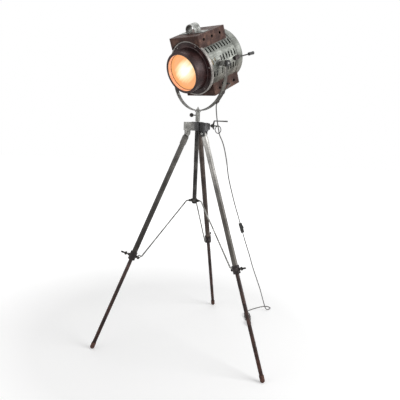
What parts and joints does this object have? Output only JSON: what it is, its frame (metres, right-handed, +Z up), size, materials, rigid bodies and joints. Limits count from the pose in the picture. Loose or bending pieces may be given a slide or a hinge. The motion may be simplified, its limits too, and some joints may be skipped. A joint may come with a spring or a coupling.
{
  "type": "tripod floor lamp",
  "caption": "Studio spotlight head in a tilting yoke on a folding tripod with telescoping legs, braces and a mains cord.",
  "frame": {"origin": "on the floor, in the middle of the rectangle round the three feet", "axes": "+Z up along the column; the lens looks down towards -X -Y; legs at -167, -47 and 73 degrees from +X"},
  "size_m": [0.9626, 0.8295, 1.5343],
  "materials": {
    "antique_brown": "mottled antique brown patina over sheet metal",
    "dark_bezel": "near-black aged bronze",
    "bright_drum": "brushed bright metal",
    "yoke_steel": "brushed steel strap",
    "cast_hub": "aged nickel casting",
    "aged_nickel": "aged nickel plated tube",
    "dark_iron": "dark grey metal",
    "clamp_black": "blackened metal",
    "brown_tube": "dark reddish brown patina on tube",
    "foot_rubber": "dark brown rubber",
    "black_plastic": "black moulded plastic",
    "cord_sheath": "grey cord sheath",
    "lens_glass": "frosted warm glass",
    "bulb_glass": "warm glowing bulb glass",
    "mirror_face": "polished reflector",
    "lamp_ceramic": "white glazed lamp holder"
  },
  "bodies": {
    "stand": {"hub": "cast_hub", "column": "dark_iron", "column_stop": "clamp_black", "stem": "yoke_steel", "cord_guide": "dark_iron", "hinge_bolt_1": "aged_nickel", "hinge_bolt_2": "aged_nickel", "hinge_bolt_3": "aged_nickel", "cord_main": "cord_sheath", "cord_hank": "cord_sheath", "switch_body": "black_plastic", "plug": "black_plastic"},
    "leg_1": {"upper_leg_1": "aged_nickel", "leg_clamp_1": "clamp_black"},
    "clamp_lever_1": {"clamp_lever_1": "dark_iron"},
    "lower_leg_1": {"lower_leg_1": "brown_tube", "foot_1": "foot_rubber"},
    "brace_1": {"brace_1": "dark_iron"},
    "leg_2": {"upper_leg_2": "aged_nickel", "leg_clamp_2": "clamp_black"},
    "clamp_lever_2": {"clamp_lever_2": "dark_iron"},
    "lower_leg_2": {"lower_leg_2": "brown_tube", "foot_2": "foot_rubber"},
    "brace_2": {"brace_2": "dark_iron"},
    "leg_3": {"upper_leg_3": "aged_nickel", "leg_clamp_3": "clamp_black"},
    "clamp_lever_3": {"clamp_lever_3": "dark_iron"},
    "lower_leg_3": {"lower_leg_3": "brown_tube", "foot_3": "foot_rubber"},
    "brace_3": {"brace_3": "dark_iron"},
    "spreader": {"spreader_collar": "dark_iron"},
    "hub_clamp_lever": {"hub_clamp_lever": "dark_iron"},
    "yoke": {"yoke": "yoke_steel", "pan_socket": "dark_iron", "yoke_bolt": "yoke_steel", "cord_clip_upper": "clamp_black", "cord_clip_lower": "clamp_black", "cord_head": "cord_sheath"},
    "pan_lock_knob": {"pan_lock_knob": "dark_iron"},
    "head": {"drum": "bright_drum", "front_rim": "bright_drum", "bezel": "dark_bezel", "lens": "lens_glass", "rear_cover": "bright_drum", "top_box": "antique_brown", "bottom_box": "antique_brown", "strap_handle": "yoke_steel", "trunnion_left": "dark_iron", "trunnion_right": "dark_iron", "aim_bracket": "clamp_black", "aim_rod": "dark_iron", "aim_grip": "black_plastic", "lamp_holder": "lamp_ceramic", "bulb": "bulb_glass", "reflector": "mirror_face", "holder_bracket": "yoke_steel", "gland": "black_plastic"},
    "tilt_knob_left": {"tilt_knob_left": "black_plastic"},
    "tilt_knob_right": {"tilt_knob_right": "black_plastic"},
    "switch_slider": {"switch_slider": "black_plastic"}
  },
  "joints": [
    {"name": "leg_fold_1", "type": "hinge", "parent": "stand", "child": "leg_1", "pos_m": [0.02421, -0.06549, 1.05], "axis": [0.2294, -0.9733, 0], "range_deg": [0, 18]},
    {"name": "leg_fold_2", "type": "hinge", "parent": "stand", "child": "leg_2", "pos_m": [0.10051, -0.08843, 1.05], "axis": [0.7283, 0.6853, 0], "range_deg": [0, 18]},
    {"name": "leg_fold_3", "type": "hinge", "parent": "stand", "child": "leg_3", "pos_m": [0.08223, -0.01088, 1.05], "axis": [-0.9576, 0.288, 0], "range_deg": [0, 18]},
    {"name": "spreader_slide", "type": "slide", "parent": "stand", "child": "spreader", "axis": [0, 0, 1], "range_m": [0, 0.0492]},
    {"name": "brace_fold_1", "type": "hinge", "parent": "spreader", "child": "brace_1", "pos_m": [0.0466, -0.06021, 0.7313], "axis": [0.2294, -0.9733, 0], "range_deg": [0, 34.2]},
    {"name": "brace_fold_2", "type": "hinge", "parent": "spreader", "child": "brace_2", "pos_m": [0.08475, -0.07168, 0.7313], "axis": [0.7283, 0.6853, 0], "range_deg": [0, 34.2]},
    {"name": "brace_fold_3", "type": "hinge", "parent": "spreader", "child": "brace_3", "pos_m": [0.07561, -0.03291, 0.7313], "axis": [-0.9576, 0.288, 0], "range_deg": [0, 34.2]},
    {"name": "leg_slide_1", "type": "slide", "parent": "leg_1", "child": "lower_leg_1", "axis": [0.3742, 0.0882, 0.9232], "range_m": [0, 0.42]},
    {"name": "clamp_turn_1", "type": "hinge", "parent": "leg_1", "child": "clamp_lever_1", "pos_m": [-0.21339, -0.12148, 0.4638], "axis": [-0.8985, -0.2117, 0.3844], "range_deg": [0, 180]},
    {"name": "leg_slide_2", "type": "slide", "parent": "leg_2", "child": "lower_leg_2", "axis": [-0.2635, 0.28, 0.9232], "range_m": [0, 0.42]},
    {"name": "clamp_turn_2", "type": "hinge", "parent": "leg_2", "child": "clamp_lever_2", "pos_m": [0.2678, -0.26621, 0.4638], "axis": [0.6326, -0.6723, 0.3844], "range_deg": [0, 180]},
    {"name": "leg_slide_3", "type": "slide", "parent": "leg_3", "child": "lower_leg_3", "axis": [-0.1107, -0.3681, 0.9232], "range_m": [0, 0.42]},
    {"name": "clamp_turn_3", "type": "hinge", "parent": "leg_3", "child": "clamp_lever_3", "pos_m": [0.15254, 0.22288, 0.4638], "axis": [0.2659, 0.884, 0.3844], "range_deg": [0, 180]},
    {"name": "hub_clamp_turn", "type": "hinge", "parent": "stand", "child": "hub_clamp_lever", "pos_m": [0.06898, -0.05493, 1.086], "axis": [0.9732, 0.23, 0], "range_deg": [-75, 0]},
    {"name": "pan", "type": "hinge", "parent": "stand", "child": "yoke", "pos_m": [0.06898, -0.05493, 1.136], "axis": [0, 0, 1], "range_deg": [-90, 90], "deforming": ["cord_main"]},
    {"name": "pan_lock_turn", "type": "hinge", "parent": "yoke", "child": "pan_lock_knob", "pos_m": [0.06898, -0.05493, 1.132], "axis": [-0.9925, -0.1219, 0], "range_deg": [0, 180]},
    {"name": "tilt", "type": "hinge", "parent": "yoke", "child": "head", "pos_m": [0.06898, -0.05493, 1.3595], "axis": [0.7314, -0.682, 0], "range_deg": [-45, 60], "deforming": ["cord_head"]},
    {"name": "tilt_knob_left_turn", "type": "hinge", "parent": "head", "child": "tilt_knob_left", "pos_m": [0.06898, -0.05493, 1.3595], "axis": [-0.7314, 0.682, 0], "range_deg": [0, 180]},
    {"name": "tilt_knob_right_turn", "type": "hinge", "parent": "head", "child": "tilt_knob_right", "pos_m": [0.06898, -0.05493, 1.3595], "axis": [0.7314, -0.682, 0], "range_deg": [0, 180]},
    {"name": "switch_slide", "type": "slide", "parent": "stand", "child": "switch_slider", "axis": [0.3022, 0.3242, -0.8964], "range_m": [0, 0.006]}
  ],
  "couplings": [
    {"joint": "leg_fold_2", "follows": "leg_fold_1", "ratio": 1},
    {"joint": "leg_fold_3", "follows": "leg_fold_1", "ratio": 1},
    {"joint": "spreader_slide", "follows": "leg_fold_1", "m_per_rad": 0.1557},
    {"joint": "brace_fold_1", "follows": "leg_fold_1", "ratio": 1.8832},
    {"joint": "brace_fold_2", "follows": "leg_fold_1", "ratio": 1.8832},
    {"joint": "brace_fold_3", "follows": "leg_fold_1", "ratio": 1.8832}
  ]
}
